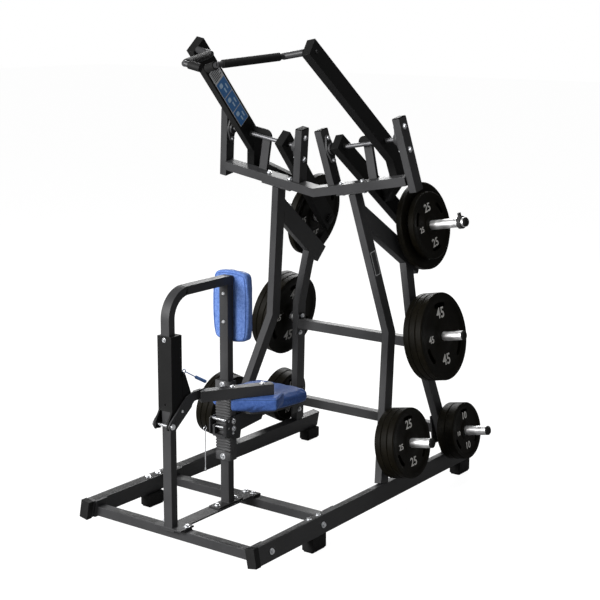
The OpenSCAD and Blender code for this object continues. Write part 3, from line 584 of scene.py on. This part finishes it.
def chest_cushion():
    """Tall pad with cut corners and a line of piping around both faces."""
    lo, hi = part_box("chest_pad")
    w, h = hi.x, (hi.z - lo.z) / 2
    c = 0.034
    pts = [(w - c, -h), (w, -h + c), (w, h - c), (w - c, h), (-w + c, h), (-w, h - c),
           (-w, -h + c), (-w + c, -h)]
    m = Matrix.Translation((0, lo.y, (lo.z + hi.z) / 2)) @ Matrix(
        ((-1, 0, 0, 0), (0, 0, 1, 0), (0, 1, 0, 0), (0, 0, 0, 1)))
    # the pad body gets the painted light copy of the vinyl, its piping the plain pad vinyl
    cushion("chest_cushion", pts, hi.y - lo.y, m, "frame", "chest_pad",
            [(0.015, "front"), (0.015, "back")], crown=0.003, soft=0.014, material=CHEST_VINYL_PAINTED_LIGHT,
            piping=M["pad_vinyl"])


WING_A = math.radians(59)
WING_P = Vector((0.052, -0.690 - MID_Y, 0.718))
THIGH_A = WING_A - math.radians(22)


def thigh_cushion():
    """Block cushion hung under the swinging channel, square to the lap, one corner cut."""
    lo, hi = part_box("thigh_pad")
    origin = WING_P + Vector((math.cos(WING_A), math.sin(WING_A), 0)) * 0.260
    origin.z = hi.z
    m = basis(origin, (math.cos(THIGH_A), math.sin(THIGH_A), 0), (0, 0, -1))
    w, h, c = 0.112, 0.068, 0.008
    pts = [(w + 0.026, -h), (w + 0.033, -h + c), (w, h - c), (w - c, h), (-w + c, h),
           (-w, h - c), (-w, -0.038), (-0.078, -h)]
    cushion("thigh_cushion", pts, hi.z - lo.z, m, "thigh_arm", "thigh_pad",
            [(0.006, "back")], crown=0.0, soft=0.013)


# ---------- numbers on the plates ----------
NUMBER_DEPTH = 0.0012


def number_mesh(name, text, size, matrix):
    """A raised number centred on the origin of matrix, as a bmesh."""
    cu = bpy.data.curves.new(name, "FONT")
    cu.body = text
    cu.size = size
    cu.align_x = "CENTER"
    cu.align_y = "CENTER"
    cu.extrude = NUMBER_DEPTH / 2
    cu.bevel_depth = 0.0002
    cu.offset = size * 0.012
    cu.resolution_u = 3
    tmp = bpy.data.objects.new(name, cu)
    scene.collection.objects.link(tmp)
    me = bpy.data.meshes.new_from_object(tmp.evaluated_get(bpy.context.evaluated_depsgraph_get()))
    bpy.data.objects.remove(tmp)
    bm = bmesh.new()
    bm.from_mesh(me)
    bpy.data.meshes.remove(me)
    bmesh.ops.transform(bm, matrix=matrix, verts=bm.verts)
    return bm


def numbers_on(name, text, r, centre, axis, up, body, lift):
    """The same number above and below the hub and a smaller one beside it."""
    right = up.cross(axis).normalized()
    parts = bmesh.new()
    for dx, dy, size in ((0, 0.53, 0.34), (0, -0.54, 0.34), (-0.52, 0, 0.22)):
        p = centre + axis * lift + right * dx * r + up * dy * r
        bm = number_mesh(name, text, r * size, basis(p, right, axis))
        me = bpy.data.meshes.new("tmp")
        bm.to_mesh(me)
        bm.free()
        parts.from_mesh(me)
        bpy.data.meshes.remove(me)
    return add_mesh(name, parts, NUMBER, body, smooth=False)


# how far the web lies below the rim of a plate, and the place of each stack on its horn
WEB = 0.0056
STORE_X = 0.054
PLATE_GAP = 0.0004
ARM_STACK = LEVER_X + ARM_HALF + 0.0383
ARM_STACK_T = 0.0724
# number, place in the side frame, radius, plates in the stack, thickness of one
STORES = (("45", 0.673, 0.644, 0.228, 3, 0.036), ("25", 0.238, 0.189, 0.176, 3, 0.036),
          ("10", 0.788, 0.117, 0.149, 2, 0.036 * 1.36))


def plate_numbers():
    """Numbers on the two faces of every stack that can be seen."""
    for side, word in ((1, "right"), (-1, "left")):
        up = turn(SIDE, (0, 0, 1), side)
        out = turn(SIDE, (1, 0, 0), side)
        for text, y, z, r, count, t in STORES:
            near = place(SIDE, (STORE_X, y, z), side)
            far = place(SIDE, (STORE_X + count * t + (count - 1) * PLATE_GAP, y, z), side)
            numbers_on(f"{word}_stored_{text}_outer", text, r, far, out, up, "frame", -WEB)
            numbers_on(f"{word}_stored_{text}_inner", text, r, near, -out, up, "frame", -WEB)
        up = turn(TOP, (0, 0, 1), side)
        out = turn(TOP, (1, 0, 0), side)
        body = f"{word}_plate_stack"
        near = place(TOP, (ARM_STACK, HORN.y, HORN.z), side)
        far = place(TOP, (ARM_STACK + ARM_STACK_T, HORN.y, HORN.z), side)
        numbers_on(f"{word}_arm_25_outer", "25", 0.176, far, out, up, body, -WEB)
        numbers_on(f"{word}_arm_45_inner", "45", 0.228, near, -out, up, body, -WEB)


# ---------- printed panels ----------
def slab(bm, m, x0, x1, y0, y1, z0, z1, corner=0.002):
    """Thin rounded rectangle in the local frame m, into bm."""
    pts = []
    for cx, cy, a0 in ((x1 - corner, y0 + corner, -90), (x1 - corner, y1 - corner, 0),
                       (x0 + corner, y1 - corner, 90), (x0 + corner, y0 + corner, 180)):
        for k in range(4):
            a = math.radians(a0 + 30 * k)
            pts.append((cx + corner * math.cos(a), cy + corner * math.sin(a)))
    lo = [bm.verts.new(m @ Vector((x, y, z0))) for x, y in pts]
    hi = [bm.verts.new(m @ Vector((x, y, z1))) for x, y in pts]
    bm.faces.new(list(reversed(lo)))
    bm.faces.new(hi)
    for k in range(len(pts)):
        k1 = (k + 1) % len(pts)
        bm.faces.new((lo[k], lo[k1], hi[k1], hi[k]))


# centre line of a handle beam in the top frame
KNEE = Vector((0.452, 0.086, 0.112))
TIP = Vector((0.476, -0.396, 0.745))


def arm_panel():
    """A light bordered strip with three blue fields on the inner face of the left arm beam."""
    d = (KNEE - TIP).normalized()
    az = math.atan2((TIP - KNEE).y, (TIP - KNEE).x)
    w = Vector((-math.sin(az), math.cos(az), 0))
    face = TIP - w * (ARM_HALF + 0.0001)
    origin = place(TOP, face, -1)
    normal = turn(TOP, -w, -1)
    along = turn(TOP, d, -1)
    m = basis(origin, along, normal)
    top_end, bottom_end, half = 0.175, 0.590, 0.036
    head = 0.085
    bm = bmesh.new()
    slab(bm, m, top_end, bottom_end, -half, half, 0.0, 0.0006)
    add_mesh("arm_panel_border", bm, PANEL_EDGE, "left_lift_arm", smooth=False)
    fields, marks = bmesh.new(), bmesh.new()
    span = (bottom_end - top_end - head) / 3
    for k in range(3):
        x0 = top_end + head + k * span + 0.003
        x1 = x0 + span - 0.006
        slab(fields, m, x0, x1, -half + 0.003, half - 0.003, 0.0006, 0.0009)
        cx = (x0 + x1) / 2
        slab(marks, m, cx - 0.036, cx - 0.008, -0.022, 0.0, 0.0009, 0.0012, 0.008)
        slab(marks, m, cx + 0.004, cx + 0.036, -0.006, 0.002, 0.0009, 0.0012)
        slab(marks, m, cx - 0.010, cx + 0.026, 0.014, 0.021, 0.0009, 0.0012)
    add_mesh("arm_panel_fields", fields, PANEL_BLUE, "left_lift_arm", smooth=False)
    add_mesh("arm_panel_marks", marks, PANEL_MARK, "left_lift_arm", smooth=False)
    bars = bmesh.new()
    for k in range(6):
        slab(bars, m, top_end + 0.008 + 0.012 * k, top_end + 0.014 + 0.012 * k,
             -half + 0.006, half - 0.006 - 0.012 * (k % 2), 0.0006, 0.0009)
    add_mesh("arm_panel_bars", bars, PANEL_DARK, "left_lift_arm", smooth=False)


def leg_panel():
    """A plain dark plate with a light border on the outer face of the right front leg."""
    a, b = Vector((0, 0.410, 0.720)), Vector((0, 0.285, 1.446))
    d = (b - a).normalized()
    c = a.lerp(b, 0.50) + Vector((0.0202, 0, 0))
    m = basis(place(SIDE, c), turn(SIDE, d), turn(SIDE, (1, 0, 0)))
    edge, dark = bmesh.new(), bmesh.new()
    slab(edge, m, -0.062, 0.062, -0.022, 0.022, 0.0, 0.0006)
    slab(dark, m, -0.058, 0.058, -0.018, 0.018, 0.0006, 0.0009)
    add_mesh("leg_panel_border", edge, PANEL_EDGE, "frame", smooth=False)
    add_mesh("leg_panel_field", dark, PANEL_DARK, "frame", smooth=False)


# ---------- weld beads ----------
def bead(bm, corners, radius=0.0028):
    """Rippled bead along a closed outline."""
    tube(bm, resample([Vector(c) for c in corners], 0.0045), radius, closed=True, segs=6,
         wobble=0.2)


def on_side_plane(x, y, z, side):
    """Where a level line at y and height z meets the leaning plane at x of a side frame."""
    zz = (z - SIDE.translation.z - x * math.sin(TILT)) / math.cos(TILT)
    return place(SIDE, (x, y, zz), side)


def frame_welds():
    """Beads around the feet of the post and mast and the ends of the cross tubes."""
    bm = bmesh.new()
    for y0, y1, z in ((-0.876, -0.836, 0.133), (-0.462, -0.422, 0.133), (-0.462, -0.422, 1.207)):
        ya, yb = y0 - MID_Y, y1 - MID_Y
        bead(bm, [(-0.025, ya, z), (0.025, ya, z), (0.025, yb, z), (-0.025, yb, z)])
    for x, y0, y1, z0, z1 in ((-0.0305, -0.848, -0.798, 0.072, 0.118),
                              (-0.0305, -0.300, -0.240, 0.072, 0.114),
                              (-0.028, 0.620, 0.666, 0.744, 0.795),
                              (-0.028, 0.726, 0.772, 0.270, 0.320)):
        for side in (1, -1):
            bead(bm, [on_side_plane(x, y, z, side)
                      for y, z in ((y0, z0), (y1, z0), (y1, z1), (y0, z1))])
    add_mesh("frame_welds", bm, M["frame_paint"], "frame")


HUB_BEAD = 0.0162


def arm_welds():
    """Rings where the axle hub passes through the weight lever."""
    for side, word in ((1, "right"), (-1, "left")):
        bm = bmesh.new()
        for x in (LEVER_X - ARM_HALF - 0.0003, LEVER_X + ARM_HALF + 0.0003):
            bead(bm, [place(TOP, (x, AXLE_Y + HUB_BEAD * math.cos(a),
                                  AXLE_Z + HUB_BEAD * math.sin(a)), side)
                      for a in (math.pi * k / 8 for k in range(16))])
        add_mesh(f"{word}_arm_welds", bm, DEEP_PAINT, f"{word}_lift_arm")


# ---------- moulded caps ----------
UPRIGHT_TOP = 0.300
UPRIGHT_X = (0.114, 0.584)
UPRIGHT_HALF = (0.020, 0.032)


def dome(bm, m, profile, segs=40):
    """Closed turned piece: profile is (radius, height) from the rim in, about local Z of m."""
    rings = []
    for r, z in profile:
        rings.append([bm.verts.new(m @ Vector((r * math.cos(a), r * math.sin(a), z)))
                      for a in (2 * math.pi * k / segs for k in range(segs))])
    for a, b in zip(rings, rings[1:]):
        for k in range(segs):
            bm.faces.new((a[k], a[(k + 1) % segs], b[(k + 1) % segs], b[k]))
    bm.faces.new(list(reversed(rings[0])))
    bm.faces.new(rings[-1])


def upright_caps():
    """Plastic plugs with rounded edges on the open tops of the four uprights."""
    bm = bmesh.new()
    for side in (1, -1):
        for x in UPRIGHT_X:
            m = basis(place(TOP, (x, AXLE_Y, UPRIGHT_TOP), side), turn(TOP, (1, 0, 0), side),
                      turn(TOP, (0, 0, 1), side))
            for inward, z0, z1 in ((0.0, 0.0, 0.0030), (0.0012, 0.0030, 0.0042),
                                   (0.0034, 0.0042, 0.0050)):
                a, b = (half - inward for half in UPRIGHT_HALF)
                slab(bm, m, -a, a, -b, b, z0, z1, 0.003)
    add_mesh("upright_caps", bm, M["black_rubber"], "frame", smooth=False)


def horn_covers():
    """Dark domed cover on the inner end of each arm's weight horn."""
    for side, word in ((1, "right"), (-1, "left")):
        start = place(TOP, (LEVER_X - ARM_HALF - 0.010, HORN.y, HORN.z), side)
        m = basis(start, turn(TOP, (0, 1, 0), side), turn(TOP, (-1, 0, 0), side))
        bm = bmesh.new()
        dome(bm, m, ((0.0254, -0.0095), (0.0258, 0.0), (0.0248, 0.0016), (0.0215, 0.0024),
                     (0.0205, 0.0020), (0.0195, 0.0026), (0.0100, 0.0042), (0.0030, 0.0046)))
        add_mesh(f"{word}_horn_cover", bm, DEEP_PAINT, f"{word}_lift_arm")


# ---------- floor, light, camera ----------
ROOM_LIGHT = 0.19
FLOOR_GLOW = 0.96


def stage():
    """Pale floor, even room light and four soft lamps."""
    bm = bmesh.new()
    bmesh.ops.create_grid(bm, x_segments=2, y_segments=2, size=40)
    floor = add_mesh("floor", bm, floor_material(), None)
    floor.location.z = -0.0005
    world = bpy.data.worlds.new("studio")
    scene.world = world
    world.use_nodes = True
    nt = world.node_tree
    bg = nt.nodes["Background"]
    path = nt.nodes.new("ShaderNodeLightPath")
    level = nt.nodes.new("ShaderNodeMapRange")
    level.inputs["To Min"].default_value = ROOM_LIGHT
    level.inputs["To Max"].default_value = 1.0
    nt.links.new(path.outputs["Is Camera Ray"], level.inputs["Value"])
    nt.links.new(level.outputs["Result"], bg.inputs["Strength"])
    bg.inputs["Color"].default_value = (1, 1, 1, 1)
    for name, loc, size, power, aim in (
            ("key", (-1.6, -6.6, 3.4), 3.0, 1120, (0, 0, 1.0)),
            ("fill", (6.0, -1.0, 2.5), 4.0, 26, (0, 0, 1.0)),
            ("top", (0.3, 0.5, 6.0), 3.5, 120, (0, 0, 0.8)),
            ("back", (-3.0, 5.0, 4.0), 3.0, 260, (0, 0, 1.2))):
        data = bpy.data.lights.new(name, "AREA")
        data.size = size
        data.energy = power
        lamp = bpy.data.objects.new(name, data)
        scene.collection.objects.link(lamp)
        lamp.location = loc
        lamp.rotation_euler = (Vector(aim) - Vector(loc)).to_track_quat("-Z", "Y").to_euler()


def floor_material():
    """Pale studio floor: nearly white to the eye, a soft grey for the light it sends back."""
    t = Tree("pale_floor")
    cloud = t.noise(1.5, 3)
    path = t.node("ShaderNodeLightPath")
    seen = path.outputs["Is Camera Ray"]
    pale = t.mix(cloud, (0.13, 0.13, 0.13), (0.135, 0.135, 0.135))
    t.set(Base_Color=t.mix(seen, (0.3, 0.3, 0.3), pale), Roughness=0.8, Specular_IOR_Level=0.0,
          Emission_Color=(1, 1, 1))
    t.link(t.math("MULTIPLY", seen, FLOOR_GLOW), t.bsdf.inputs["Emission Strength"])
    return t.mat


def camera():
    """Eye to the front and left of the user, a little above the arms, long lens."""
    az, el, roll = math.radians(36), math.radians(12), math.radians(0.25)
    back = Vector((math.sin(az) * math.cos(el), -math.cos(az) * math.cos(el), math.sin(el)))
    right = Vector((math.cos(az), math.sin(az), 0))
    up = back.cross(right)
    x = right * math.cos(roll) + up * math.sin(roll)
    y = up * math.cos(roll) - right * math.sin(roll)
    data = bpy.data.cameras.new("camera")
    data.sensor_width = 36
    data.lens = 82.26
    data.clip_end = 100
    cam = bpy.data.objects.new("camera", data)
    scene.collection.objects.link(cam)
    m = Matrix.Identity(4)
    for i, v in enumerate((x, y, back)):
        for k in range(3):
            m[k][i] = v[k]
    m.translation = Vector((3.985, -5.336 - MID_Y, 2.470))
    cam.matrix_world = m
    scene.camera = cam


dress()
seat_cushion()
chest_cushion()
thigh_cushion()
plate_numbers()
arm_panel()
leg_panel()
frame_welds()
arm_welds()
upright_caps()
horn_covers()
stage()
camera()
scene.view_settings.view_transform = "Standard"

bpy.context.view_layer.update()
